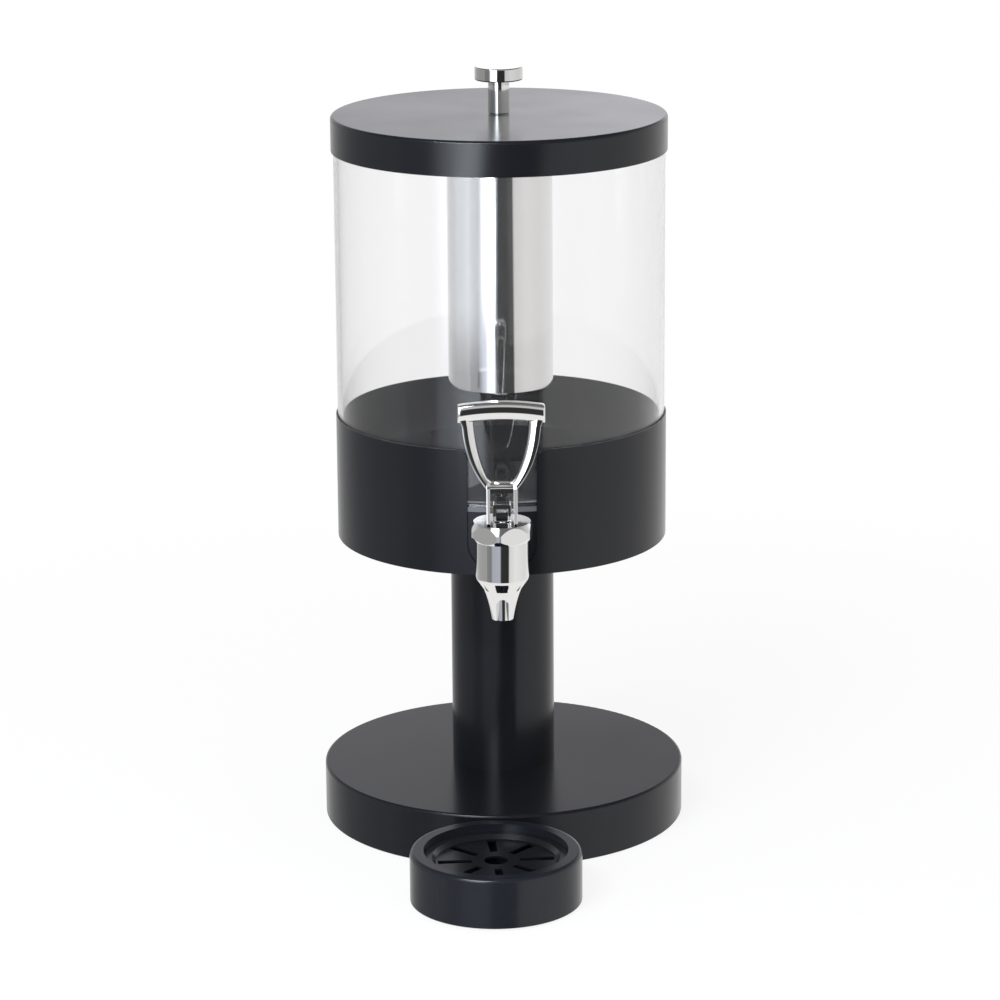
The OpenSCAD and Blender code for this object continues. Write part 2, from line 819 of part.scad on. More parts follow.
// The lid with its knob
module lid_shell() {
    color(lacquer) difference() {
        rotate_extrude($fn = round_fn) difference() {
            disc_outline(lid_r, lid_top - lid_h, lid_top, lid_edge_r);
            disc_outline(lid_in_r, lid_top - lid_h - past, lid_top - lid_wall, lid_in_edge_r);
        }
        bore(knob_screw_d / 2 + hole_room, lid_top - 2 * past, lid_top + past);
    }
}

module lid_liner() {
    ring_r = tank_in_r - liner_gap;
    color(plastic) difference() {
        union() {
            bore(liner_r, tube_top, tube_top + liner_t, $fn = round_fn);
            ring(ring_r, ring_r - liner_ring_w, tube_top - liner_ring_h, tube_top + liner_t / 2);
        }
        bore(knob_screw_d / 2 + hole_room, tube_top - past, tube_top + liner_t + past);
    }
}

module knob_stem() {
    color(chrome) ring(knob_stem_d / 2, knob_screw_d / 2 + hole_room, lid_top, knob_z);
}

module knob_cap() {
    color(chrome) difference() {
        rotate_extrude($fn = round_fn) {
            translate([0, knob_z]) square([knob_stem_d / 2, knob_neck_h + past]);
            disc_outline(knob_cap_d / 2, cap_z + knob_edge_r, knob_top, knob_edge_r);
            translate([0, cap_z]) square([knob_cap_d / 2 - knob_edge_r, knob_cap_h / 2]);
            translate([knob_cap_d / 2 - knob_edge_r, cap_z + knob_edge_r])
                circle(r = knob_edge_r, $fn = fillet_fn);
        }
        bore(knob_screw_d / 2 + thread_fit, knob_z - past, knob_top - 2.5);
    }
}

module knob_screw() {
    head_z = tube_top - collar_web_t - knob_head_h;
    color(steel) union() {
        bore(knob_screw_d, head_z, head_z + knob_head_h);
        bore(knob_screw_d / 2, head_z, knob_top - 3);
    }
}

// The ice tube and the collar that it hangs on
module tube_collar() {
    color(plastic) difference() {
        bore(collar_r, collar_z, tube_top, $fn = round_fn);
        bore(collar_r - collar_wall, collar_z - past, tube_top - collar_web_t);
        bore(knob_screw_d / 2 + hole_room, collar_z, tube_top + past);
        for (side = [0, 180]) rotate([0, 0, side])
            rod_y(bayonet_d / 2 + thread_fit, collar_r - 2 * collar_wall, ice_r + past, bayonet_z);
    }
}

module tube_gasket() {
    color(silicone) ring(ice_r + past, collar_r + hole_room / 3, ice_top, tube_top);
}

module bayonet_pins() {
    color(steel) for (side = [0, 180]) rotate([0, 0, side])
        rod_y(bayonet_d / 2, collar_r - collar_wall, ice_r + 0.4, bayonet_z);
}

// Each pin stands at the blind end of a slot, and leaves it at the top after the turn
module bayonet_slot() {
    inner = ice_in_r - past;
    wide = ice_wall + 2 * past;
    side = asin(bayonet_slot_r / ice_r);
    rotate([0, 0, 90 - bayonet_turn - side]) {
        rotate_extrude(angle = bayonet_turn + 2 * side, $fn = round_fn)
            translate([inner, bayonet_z - bayonet_slot_r]) square([wide, 2 * bayonet_slot_r]);
        rotate_extrude(angle = 2 * side, $fn = round_fn)
            translate([inner, bayonet_z]) square([wide, ice_top - bayonet_z + past]);
    }
}

module ice_tube() {
    in_edge_r = max(ice_edge_r - ice_wall, 0.2);
    color(chrome) difference() {
        translate([0, 0, ice_z + ice_top]) mirror([0, 0, 1]) rotate_extrude($fn = round_fn)
            difference() {
                disc_outline(ice_r, ice_z, ice_top, ice_edge_r);
                disc_outline(ice_in_r, ice_z - past, ice_top - ice_wall, in_edge_r);
            }
        for (side = [0, 180]) rotate([0, 0, side]) bayonet_slot();
    }
}

// The drip tray is one pressed sheet, open below between its skirt and its well
module tray_body() {
    in_edge_r = max(tray_edge_r - tray_wall, 0.2);
    color(lacquer) translate([tray_x, tray_y, 0]) rotate_extrude($fn = round_fn) {
        difference() {
            disc_outline(tray_r, tray_pad_t, tray_h, tray_edge_r);
            disc_outline(tray_r - tray_wall, 0, tray_h - tray_wall, in_edge_r);
            square([tray_in_r, tray_h + past]);
        }
        translate([tray_in_r, ledge_top - tray_wall])
            square([tray_wall, tray_h - tray_wall / 2 - ledge_top + tray_wall]);
        translate([well_r, ledge_top - tray_wall]) square([ledge_w + tray_wall, tray_wall]);
        translate([well_r, tray_pad_t]) square([tray_wall, ledge_top - tray_pad_t]);
        translate([0, tray_pad_t]) square([well_r + tray_wall, tray_wall]);
    }
}

module tray_pad() {
    color(rubber) translate([tray_x, tray_y, 0])
        ring(well_r, well_r - tray_pad_w, 0, tray_pad_t);
}

// The grille is a shallow dish that hangs by its flange on the tray's ledge
module tray_grille() {
    slot_in = slot_out - grille_slot_l;
    color(lacquer) translate([tray_x, tray_y, 0]) difference() {
        rotate_extrude($fn = round_fn) polygon([
            [0, grille_z], [plate_r, grille_z], [hang_r, ledge_top], [grille_r, ledge_top],
            [grille_r, flange_top], [hang_r - 0.7 * grille_t, flange_top],
            [plate_r - 0.7 * grille_t, grille_top], [0, grille_top]
        ]);
        bore(grille_hole_d / 2, grille_z - past, grille_top + past);
        for (i = [0 : grille_slots - 1]) rotate([0, 0, grille_turn + i * 360 / grille_slots])
            translate([0, 0, grille_z - past]) linear_extrude(grille_t + 2 * past) polygon([
                [slot_in, -0.4 * grille_slot_w], [slot_out, -0.5 * grille_slot_w],
                [slot_out, 0.5 * grille_slot_w], [slot_in, 0.4 * grille_slot_w]
            ]);
    }
}

base_cover();
base_weight();
base_pad();
column_tube();
column_foot_plug();
column_head_plug();
tie_bolt();
tie_washer();
holder_sleeve();
holder_floor();
holder_screws();
holder_pad();
tank_cylinder();
tank_seal();
tank_base();
tap_body();
tap_outer_washer();
tap_inner_washer();
tap_lock_nut();
tap_bonnet();
tap_spring();
tap_stem();
tap_seat_cup();
tap_handle();
tap_pin();
lid_shell();
lid_liner();
knob_cap();
knob_stem();
knob_screw();
tube_collar();
tube_gasket();
bayonet_pins();
ice_tube();
tray_body();
tray_pad();
tray_grille();
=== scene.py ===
"""Looks for the juice dispenser: camera, light, materials and the pieces with finer meshes."""

import json
import math

import bmesh
import bpy
from mathutils import Matrix, Vector


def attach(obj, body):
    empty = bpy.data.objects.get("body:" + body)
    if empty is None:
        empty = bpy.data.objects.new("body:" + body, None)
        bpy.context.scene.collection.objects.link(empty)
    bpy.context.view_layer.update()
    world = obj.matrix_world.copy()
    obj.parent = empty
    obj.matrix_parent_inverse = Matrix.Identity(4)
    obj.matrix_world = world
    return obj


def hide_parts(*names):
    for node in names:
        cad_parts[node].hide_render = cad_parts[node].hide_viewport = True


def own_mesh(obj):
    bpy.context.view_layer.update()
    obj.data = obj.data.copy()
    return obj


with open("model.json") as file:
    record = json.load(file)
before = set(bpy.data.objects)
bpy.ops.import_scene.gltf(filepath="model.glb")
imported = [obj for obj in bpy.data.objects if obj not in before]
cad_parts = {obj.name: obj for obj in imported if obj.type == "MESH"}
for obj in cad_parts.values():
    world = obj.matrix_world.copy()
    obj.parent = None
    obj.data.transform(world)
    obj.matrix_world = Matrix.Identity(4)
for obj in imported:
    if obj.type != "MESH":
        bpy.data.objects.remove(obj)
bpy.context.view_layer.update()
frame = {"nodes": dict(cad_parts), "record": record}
nodes = frame["nodes"]
scene = bpy.context.scene
scene.view_settings.view_transform = "Standard"


# ---------------------------------------------------------------- camera

# places in metres, lens and sensor in millimetres
CAM_AT = Vector((-0.001084, -2.210709, 0.798094))
CAM_TO = Vector((-0.001084, 0.0, 0.198940))
CAM_ROLL = -0.0075089
CAM_LENS = 133.646
CAM_SENSOR = 36.0
CAM_FAR = 50.0


def add_camera():
    data = bpy.data.cameras.new("camera")
    data.sensor_width = CAM_SENSOR
    data.lens = CAM_LENS
    data.clip_end = CAM_FAR
    cam = bpy.data.objects.new("camera", data)
    turn = (CAM_TO - CAM_AT).to_track_quat("-Z", "Y").to_matrix()
    turn = turn @ Matrix.Rotation(CAM_ROLL, 3, "Z")
    cam.matrix_world = Matrix.Translation(CAM_AT) @ turn.to_4x4()
    scene.collection.objects.link(cam)
    scene.camera = cam


add_camera()


# ---------------------------------------------------------------- node helpers

# A source is a (node, output) pair. calc, rescale, ramp, step and the mixers return one, and take
# sources or plain values.

MIX_LOW, MIX_HIGH, MIX_RESULT = 6, 7, 2     # the colour sockets of a mix node
WHITE = (1.0, 1.0, 1.0, 1.0)


def new_material(name):
    mat = bpy.data.materials.new(name)
    mat.use_nodes = True
    mat.node_tree.nodes.clear()
    return mat, mat.node_tree


def add(tree, kind, **values):
    """A node with settings or input values given by name."""
    node = tree.nodes.new(kind)
    for key, value in values.items():
        if hasattr(node, key):
            setattr(node, key, value)
        else:
            node.inputs[key].default_value = value
    return node


def join(tree, source, node, inp):
    """Links a source to an input, or gives the input a plain value."""
    if isinstance(source, tuple) and isinstance(source[0], bpy.types.Node):
        tree.links.new(source[0].outputs[source[1]], node.inputs[inp])
    else:
        node.inputs[inp].default_value = source


def calc(tree, operation, *terms, **settings):
    """A sum or other operation on sources and plain values."""
    node = add(tree, "ShaderNodeMath", operation=operation, **settings)
    for i, term in enumerate(terms):
        join(tree, term, node, i)
    return node, 0


def rescale(tree, source, span, result, **settings):
    """Maps the span (low, high) of a source to the result (low, high)."""
    node = add(tree, "ShaderNodeMapRange", **settings)
    join(tree, source, node, 0)
    for name, value in zip(("From Min", "From Max", "To Min", "To Max"), (*span, *result)):
        join(tree, value, node, name)
    return node, 0


def ramp(tree, source, stops, interpolation="LINEAR"):
    """Greys or colours by the source's value, from (place, colour) stops."""
    node = add(tree, "ShaderNodeValToRGB")
    band = node.color_ramp
    band.interpolation = interpolation
    while len(band.elements) > 1:
        band.elements.remove(band.elements[-1])
    for i, (pos, color) in enumerate(stops):
        item = band.elements[0] if i == 0 else band.elements.new(pos)
        item.position = pos
        if not hasattr(color, "__len__"):
            color = (color, color, color)
        item.color = (*color, 1.0)
    join(tree, source, node, 0)
    return node, 0


def step(tree, source, edge, low=0.0, high=1.0):
    """One value up to the edge (start, end) and another past it."""
    start, end = edge
    return ramp(tree, source, [(0.0, low), (start, low), (end, high), (1.0, high)])


def mix_colors(tree, share, low, high):
    node = add(tree, "ShaderNodeMix", data_type="RGBA")
    for source, inp in ((share, "Factor"), (low, MIX_LOW), (high, MIX_HIGH)):
        join(tree, source, node, inp)
    return node, MIX_RESULT


def mix_shaders(tree, share, low, high):
    node = add(tree, "ShaderNodeMixShader")
    for inp, source in enumerate((share, low, high)):
        join(tree, source, node, inp)
    return node, 0


# ---------------------------------------------------------------- world

# Brightness round the object by direction, in degrees from the camera's side, + to the right
STUDIO = [
    (-180, 0.95), (-150, 0.62), (-120, 0.40), (-80, 0.36), (-72, 0.40), (-69.5, 0.25), (-48, 0.22),
    (-45, (0.42, 0.44, 0.50)), (-10, (0.46, 0.48, 0.55)), (-5, 0.035), (27, 0.030), (31, 0.74),
    (60, 0.87), (110, 0.78), (180, 0.95),
]
# The same above the horizon, where the dark front has ended
SIDES_HIGH = [(-80, 0.42), (-45, (0.50, 0.52, 0.60)), (0, 0.62), (60, 0.80), (110, 0.88)]
STUDIO_HIGH = [
    (-180, (1.28, 1.28, 1.34)), (-177.5, (1.04, 1.04, 1.09)), (-150, 0.75), *SIDES_HIGH,
    (150, 1.18), (177.5, (1.58, 1.58, 1.65)), (180, (1.28, 1.28, 1.34)),
]
# Higher still, where the far wall is lit from the left
STUDIO_TOP = [
    (-180, (0.70, 0.70, 0.75)), (-177.5, (0.88, 0.88, 0.93)), (-150, 0.75), *SIDES_HIGH,
    (150, 0.88), (177.5, (0.46, 0.46, 0.50)), (180, (0.70, 0.70, 0.75)),
]

# Heights where one zone gives way to the next: 0 is straight down, 0.5 level and 1 straight up
TABLE_END = (0.268, 0.292)
HIGH_START = (0.53, 0.56)
TOP_START = (0.60, 0.65)
CEILING_START = (0.58, 0.80)
TABLE_TO_CEILING = (0.50, 0.52)
TABLE_LIGHT, CEILING_LIGHT = 0.92, 0.16


def past_gloss(tree):
    """The light path, and 1 for light already thrown back by a glossy surface, else 0."""
    path = add(tree, "ShaderNodeLightPath")
    return path, calc(tree, "GREATER_THAN", (path, "Glossy Depth"), 0.5)


def background_share(tree, path, after):
    """1 where the plain white background is seen, straight or through clear walls."""
    seen = calc(tree, "MAXIMUM", (path, "Is Camera Ray"), (path, "Is Transmission Ray"))
    return calc(tree, "SUBTRACT", seen, after, use_clamp=True)


def studio_light(tree):
    """The studio that the glossy pieces see, by the direction of the ray."""
    split = add(tree, "ShaderNodeSeparateXYZ")
    join(tree, (add(tree, "ShaderNodeTexCoord"), "Generated"), split, 0)
    towards = calc(tree, "MULTIPLY", (split, "Y"), -1.0)
    azimuth = calc(tree, "ARCTAN2", (split, "X"), towards)
    place = calc(tree, "MULTIPLY_ADD", azimuth, 1.0 / (2.0 * math.pi), 0.5)
    height = calc(tree, "MULTIPLY_ADD", (split, "Z"), 0.5, 0.5)
    around, high, top = [
        ramp(tree, place, [((deg + 180.0) / 360.0, value) for deg, value in stops])
        for stops in (STUDIO, STUDIO_HIGH, STUDIO_TOP)]
    for level, edge in ((high, HIGH_START), (top, TOP_START)):
        around = mix_colors(tree, step(tree, height, edge), around, level)
    # 0 keeps the bands round the horizon, 1 is the table below or the dark ceiling above
    (table, bands), (end, ceiling) = TABLE_END, CEILING_START
    ends = ramp(tree, height, [
        (0.0, 1.0), (table, 1.0), (bands, 0.0), (end, 0.0), (ceiling, 1.0), (1.0, 1.0)])
    caps = step(tree, height, TABLE_TO_CEILING, TABLE_LIGHT, CEILING_LIGHT)
    return mix_colors(tree, ends, around, caps)


def add_world():
    world = bpy.data.worlds.new("studio")
    world.use_nodes = True
    scene.world = world
    tree = world.node_tree
    tree.nodes.clear()
    share = background_share(tree, *past_gloss(tree))
    back = add(tree, "ShaderNodeBackground")
    join(tree, mix_colors(tree, share, studio_light(tree), WHITE), back, "Color")
    join(tree, (back, 0), add(tree, "ShaderNodeOutputWorld"), 0)


add_world()


# ---------------------------------------------------------------- floor

FLOOR_HALF, FLOOR_DROP = 9.0, 0.0001
PAPER = (0.92, 0.92, 0.92, 1.0)
# Metres from the object over which the paper turns white, and how white it is there
SHADOW_REACH = (0.12, 0.9)
SHADOW_WHITE = (0.86, 1.0)


def plain_object(name, mesh, body=None):
    obj = bpy.data.objects.new(name, mesh)
    scene.collection.objects.link(obj)
    if body:
        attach(obj, body)
    return obj


def make_floor_paper():
    mat, tree = new_material("floor")
    paper = add(tree, "ShaderNodeBsdfDiffuse", Color=PAPER)
    glow = add(tree, "ShaderNodeEmission", Color=WHITE)
    path, after = past_gloss(tree)
    # white paper further out, and near the object it keeps the shadow
    reach = add(tree, "ShaderNodeVectorMath", operation="LENGTH")
    join(tree, (add(tree, "ShaderNodeTexCoord"), "Object"), reach, 0)
    whiten = rescale(
        tree, (reach, "Value"), SHADOW_REACH, SHADOW_WHITE, interpolation_type="SMOOTHSTEP")
    share = calc(tree, "MULTIPLY", background_share(tree, path, after), whiten)
    seen = mix_shaders(tree, share, (paper, 0), (glow, 0))
    # a gloss sees the studio's own table band instead
    clear = add(tree, "ShaderNodeBsdfTransparent")
    surface = mix_shaders(tree, after, seen, (clear, 0))
    join(tree, surface, add(tree, "ShaderNodeOutputMaterial"), 0)
    return mat


def add_floor():
    half = FLOOR_HALF
    corners = [(-half, -half, 0.0), (half, -half, 0.0), (half, half, 0.0), (-half, half, 0.0)]
    mesh = bpy.data.meshes.new("floor")
    mesh.from_pydata(corners, [], [(0, 1, 2, 3)])
    mesh.materials.append(make_floor_paper())
    floor = plain_object("floor", mesh)
    floor.location.z = -FLOOR_DROP


add_floor()


# ---------------------------------------------------------------- lamps

# The tall box fades across its width, and it is dim at its foot
TALL_BOX_ACROSS = [(0.0, 0.0), (0.30, 0.30), (0.52, 0.75), (0.66, 1.0), (0.82, 0.85), (0.97, 0.0)]
TALL_BOX_UP = [(0.0, 0.22), (0.10, 0.24), (0.16, 1.0), (1.0, 1.0)]


def fade_lamp(data, across, up):
    """Lets a soft box fade across its width and from its foot up."""
    data.use_nodes = True
    tree = data.node_tree
    tree.nodes.clear()
    split = add(tree, "ShaderNodeSeparateXYZ")
    join(tree, (add(tree, "ShaderNodeNewGeometry"), "Parametric"), split, 0)
    glow = add(tree, "ShaderNodeEmission")
    strength = calc(
        tree, "MULTIPLY", ramp(tree, (split, 0), across, "EASE"), ramp(tree, (split, 1), up))
    join(tree, strength, glow, "Strength")
    join(tree, (glow, 0), add(tree, "ShaderNodeOutputLight"), 0)


def add_lamp(name, azimuth, elevation, distance, aim_z, size, radiance, color,
             glossy=True, fade=None):
    """A soft box at an azimuth from the camera's side, + to the right, with its own brightness."""
    data = bpy.data.lights.new(name, "AREA")
    data.shape = "RECTANGLE"
    data.size, data.size_y = size
    data.energy = math.pi * size[0] * size[1] * radiance
    data.color = color
    if fade:
        fade_lamp(data, *fade)
    lamp = bpy.data.objects.new(name, data)
    a, e = math.radians(azimuth), math.radians(elevation)
    offset = Vector((math.sin(a) * math.cos(e), -math.cos(a) * math.cos(e), math.sin(e)))
    lamp.location = Vector((0.0, 0.0, aim_z)) + distance * offset
    lamp.rotation_euler = (-offset).to_track_quat("-Z", "Y").to_euler()
    lamp.visible_camera = False
    lamp.visible_transmission = glossy
    lamp.visible_glossy = glossy
    scene.collection.objects.link(lamp)


add_lamp(
    "tall_box", azimuth=-26.0, elevation=0.0, distance=0.78, aim_z=0.50, size=(0.52, 0.90),
    radiance=6.1, color=(0.86, 0.93, 1.0), fade=(TALL_BOX_ACROSS, TALL_BOX_UP))
add_lamp(
    "strip", azimuth=-29.0, elevation=38.0, distance=2.2, aim_z=0.43, size=(1.25, 0.22),
    radiance=28.0, color=(0.95, 0.97, 1.0))
add_lamp(
    "sky", azimuth=0.0, elevation=90.0, distance=2.4, aim_z=0.2, size=(2.4, 2.4),
    radiance=2.0, color=(1.0, 1.0, 1.0), glossy=False)


# ---------------------------------------------------------------- materials

# Most values of a noise lie in this span
NOISE_SPAN = (0.3, 0.7)
CHROME_COLOR = (0.86, 0.855, 0.845)


def shader(tree, **values):
    node = tree.nodes.new("ShaderNodeBsdfPrincipled")
    for key, value in values.items():
        node.inputs[key.replace("_", " ")].default_value = value
    join(tree, (node, 0), add(tree, "ShaderNodeOutputMaterial"), 0)
    return node


def noise(tree, scale, detail, stretch):
    """Noise in the piece's own coordinates; a small stretch draws it out along that axis."""
    place = add(tree, "ShaderNodeMapping", Scale=stretch)
    join(tree, (add(tree, "ShaderNodeTexCoord"), "Object"), place, 0)
    node = add(tree, "ShaderNodeTexNoise", Scale=scale, Detail=detail)
    join(tree, (place, 0), node, "Vector")
    return node, 0


def rough_on(tree, bsdf, scale, low, high, stretch=(1, 1, 1)):
    """Lets the roughness vary gently over the surface."""
    varied = rescale(tree, noise(tree, scale, 4.0, stretch), NOISE_SPAN, (low, high))
    join(tree, varied, bsdf, "Roughness")


def bump_on(tree, bsdf, scale, distance, strength, stretch=(1, 1, 1)):
    bump = add(tree, "ShaderNodeBump", Strength=strength, Distance=distance)
    join(tree, noise(tree, scale, 3.0, stretch), bump, "Height")
    join(tree, (bump, 0), bsdf, "Normal")


def make_lacquer(name="lacquer", color=(0.0080, 0.0087, 0.0114), rough=0.21):
    mat, tree = new_material(name)
    bsdf = shader(tree, Base_Color=(*color, 1.0), IOR=1.43, Roughness=rough)
    rough_on(tree, bsdf, scale=9.0, low=rough - 0.03, high=rough + 0.03)
    bump_on(tree, bsdf, scale=420.0, distance=0.00003, strength=0.45)
    return mat


def make_chrome(name="chrome", shine=1.0):
    mat, tree = new_material(name)
    color = [shine * c for c in CHROME_COLOR]
    bsdf = shader(tree, Base_Color=(*color, 1.0), Metallic=1.0, Roughness=0.05)
    rough_on(tree, bsdf, scale=40.0, low=0.035, high=0.07)
    return mat


def make_ice_steel():
    mat, tree = new_material("ice_steel")
    bsdf = shader(tree, Base_Color=(0.88, 0.872, 0.86, 1.0), Metallic=1.0, Roughness=0.06)
    rough_on(tree, bsdf, scale=60.0, low=0.04, high=0.08, stretch=(1, 1, 0.05))
    bump_on(tree, bsdf, scale=160.0, distance=0.00002, strength=0.25, stretch=(1, 1, 0.01))
    return mat


def make_steel():
    mat, tree = new_material("steel")
    bsdf = shader(tree, Base_Color=(0.56, 0.56, 0.57, 1.0), Metallic=1.0, Roughness=0.3)
    rough_on(tree, bsdf, scale=90.0, low=0.24, high=0.36)
    return mat


def make_iron():
    mat, tree = new_material("weight")
    bsdf = shader(tree, Base_Color=(0.10, 0.10, 0.10, 1.0), Metallic=0.6, Roughness=0.6)
    bump_on(tree, bsdf, scale=300.0, distance=0.0002, strength=0.6)
    return mat


def make_clear():
    mat, tree = new_material("clear")
    # what isn't let through is the faint haze of worn acrylic
    shader(tree, Base_Color=(0.999, 0.996, 1.0, 1.0), IOR=1.5, Roughness=0.0,
           Transmission_Weight=0.986)
    return mat


def make_black_plastic():
    mat, tree = new_material("black_plastic")
    bsdf = shader(tree, Base_Color=(0.013, 0.0135, 0.017, 1.0), IOR=1.5, Roughness=0.12)
    rough_on(tree, bsdf, scale=30.0, low=0.09, high=0.15)
    bump_on(tree, bsdf, scale=900.0, distance=0.00002, strength=0.3)
    return mat


def make_silicone():
    mat, tree = new_material("silicone")
    bsdf = shader(tree, Base_Color=(0.14, 0.144, 0.158, 1.0), IOR=1.42, Roughness=0.4)
    rough_on(tree, bsdf, scale=70.0, low=0.35, high=0.48)
    return mat


def make_rubber():
    mat, tree = new_material("rubber")
    bsdf = shader(tree, Base_Color=(0.018, 0.018, 0.018, 1.0), IOR=1.5, Roughness=0.7)
    bump_on(tree, bsdf, scale=900.0, distance=0.00006, strength=0.6)
    return mat


# by the record's material slot
MATERIALS = {
    "lacquer": make_lacquer(),
    "chrome": make_chrome(),
    "ice_steel": make_ice_steel(),
    "steel": make_steel(),
    "weight": make_iron(),
    "clear": make_clear(),
    "black_plastic": make_black_plastic(),
    "silicone": make_silicone(),
    "rubber": make_rubber(),
}

# the tray's coat is a little lighter than the stand's, and the cap's chrome darker than the tap's
OWN_MATERIAL = {
    "tray_body": make_lacquer("tray_lacquer", color=(0.0115, 0.0132, 0.0180), rough=0.19),
    "knob_cap": make_chrome("cap_chrome", shine=0.84),
}


def even_shading(obj):
    """Keeps flat faces flat beside their rounded edges."""
    obj.modifiers.new("even", "WEIGHTED_NORMAL").keep_sharp = True


for part in frame["record"]["subparts"]:
    node = nodes[part["node"]]
    node.data.materials.clear()
    node.data.materials.append(OWN_MATERIAL.get(part["node"], MATERIALS[part["material_slot"]]))
    even_shading(node)


# ---------------------------------------------------------------- mesh helpers

# from here on sizes and places are in millimetres, in the part's own frame
MM = 0.001
WELD = 1e-5
SHARP = math.radians(32.0)


def finish_mesh(bm, name, body, slot, replaced):
    """Turns a bmesh in millimetres into a piece of the model."""
    bmesh.ops.remove_doubles(bm, verts=bm.verts, dist=WELD)
    bmesh.ops.recalc_face_normals(bm, faces=bm.faces)
    for vert in bm.verts:
        vert.co *= MM
    mesh = bpy.data.meshes.new(name)
    bm.to_mesh(mesh)
    bm.free()
    mesh.shade_smooth()
    mesh.set_sharp_from_angle(angle=SHARP)
    mesh.materials.append(MATERIALS[slot])
    piece = plain_object(name, mesh, body)
    even_shading(piece)
    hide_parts(*replaced)
    return piece


def skin(bm, low, high):
    """Faces between two closed rows of vertices; a row of one vertex is a pole."""
    count = max(len(low), len(high))
    for i in range(count):
        j = (i + 1) % count
        if len(low) == 1:
            bm.faces.new((low[0], high[j], high[i]))
        elif len(high) == 1:
            bm.faces.new((low[i], low[j], high[0]))
        else:
            bm.faces.new((low[i], low[j], high[j], high[i]))


def loft(bm, rings):
    """Skins closed rings of points that all have the same count, and caps both ends."""
    rows = [[bm.verts.new(point) for point in ring] for ring in rings]
    for low, high in zip(rows, rows[1:]):
        skin(bm, low, high)
    bm.faces.new(list(reversed(rows[0])))
    bm.faces.new(rows[-1])


def lathe(bm, outline, steps, centre=(0.0, 0.0)):
    """Turns an (r, z) outline round the vertical through centre; r = 0 makes a pole."""
    turns = [2.0 * math.pi * i / steps for i in range(steps)]
    rows = [
        [bm.verts.new((centre[0] + r * math.cos(a), centre[1] + r * math.sin(a), z))
         for a in (turns if r else turns[:1])]
        for r, z in outline]
    for low, high in zip(rows, rows[1:]):
        skin(bm, low, high)


def arc(cx, cy, r, a0, a1, steps):
    """Points on an arc, angles in degrees."""
    turns = [math.radians(a0 + (a1 - a0) * i / steps) for i in range(steps + 1)]
    return [(cx + r * math.cos(a), cy + r * math.sin(a)) for a in turns]


def bend(a, b, c, t):
    """A point on the curve from a to c that leans towards b."""
    return tuple((1 - t) ** 2 * p + 2 * t * (1 - t) * q + t * t * r for p, q, r in zip(a, b, c))


def rounded_plate(bm, outline, x0, x1, edge0, edge1):
    """A plate across X from a (y, z) outline, with the edges of both its sides rounded."""
    part = bmesh.new()
    loft(part, [[(x, y, z) for y, z in outline] for x in (x0, x1)])
    bmesh.ops.recalc_face_normals(part, faces=part.faces)
    for x, edge in ((x0, edge0), (x1, edge1)):
        rim = [e for e in part.edges if all(abs(v.co.x - x) < 1e-6 for v in e.verts)]
        bmesh.ops.bevel(
            part, geom=rim, offset=edge, segments=4, profile=0.5, affect="EDGES",
            clamp_overlap=True)
    mesh = bpy.data.meshes.new("scratch")
    part.to_mesh(mesh)
    part.free()
    bm.from_mesh(mesh)
    bpy.data.meshes.remove(mesh)


# ---------------------------------------------------------------- tap handle

# The handle's other sizes are measured from the pin, with y to the back and z up
PIN = (0.0, -141.0, 231.0)

# The bar across the top, arched, with a crowned front
HANDLE_H = 64.8
BAR_W, BAR_H, BAR_D = 50.5, 10.7, 8.0
ARCH_R = 152.85
CROWN_R, CROWN_Z = 12.5, 0.8
BAR_EDGE, BAR_EDGE_LEAST = 1.9, 0.15
BAR_END = 1.3
BAR_STEPS, CROWN_STEPS = 28, 16

# The crosspiece that joins the arms' feet, with the (outer, inner) x of its points
CROSS_LOW, CROSS_HIGH = 13.3, 16.6
CROSS_X = ((7.6, 4.9), (6.0, 3.7), (4.0, 2.5), (2.0, 1.2))

# The edges of the right arm as (x, z): at the bar, what it leans towards, and at its foot
ARM_OUTER = ((22.85, 55.4), (22.65, 30.0), (9.0, CROSS_LOW))
ARM_INNER = ((16.25, 55.4), (14.65, 30.0), (6.6, CROSS_HIGH))
# How far each edge flares out into the bar, and over which share of the arm
FLARE_OUTER = (2.2, 0.13)
FLARE_INNER = (-1.6, 0.09)
ARM_STEPS = 26

# An arm's section: a flat front, then a slope that rounds off into the inner side, as (share of
# the width, depth past the slope)
ARM_D = 6.5
ARM_EDGE, ARM_EDGE_SOFT = 0.55, 0.16
ARM_BACK_EDGE, ARM_BACK_SOFT = 0.9, 0.25
ARM_FLAT = 0.42
ARM_SLOPE = math.tan(math.radians(17.0))
ARM_ROUND = ((0.80, 0.0), (0.85, 0.35), (0.90, 0.9), (0.95, 1.7), (1.0, 2.8))

# The two cheeks of the fork, whose feet roll on the bonnet, and the lintel between them
TILT_MAX = 35.0
LOBE_R, LOBE_RISE = 6.3, 9.0
CHEEK_IN, CHEEK_OUT = 6.8, 9.0
CHEEK_FRONT, CHEEK_BACK = -8.5, 5.0
CHEEK_EDGE_IN, CHEEK_EDGE_OUT = 0.15, 0.5
LINTEL_FRONT, LINTEL_LOW, LINTEL_TOP = -3.2, 11.0, 14.9
LINTEL_HALF, LINTEL_EDGE = 8.6, 0.4


def from_pin(x, y, z):
    """The place in the part of a point given from the pin."""
    return PIN[0] + x, PIN[1] + y, PIN[2] + z


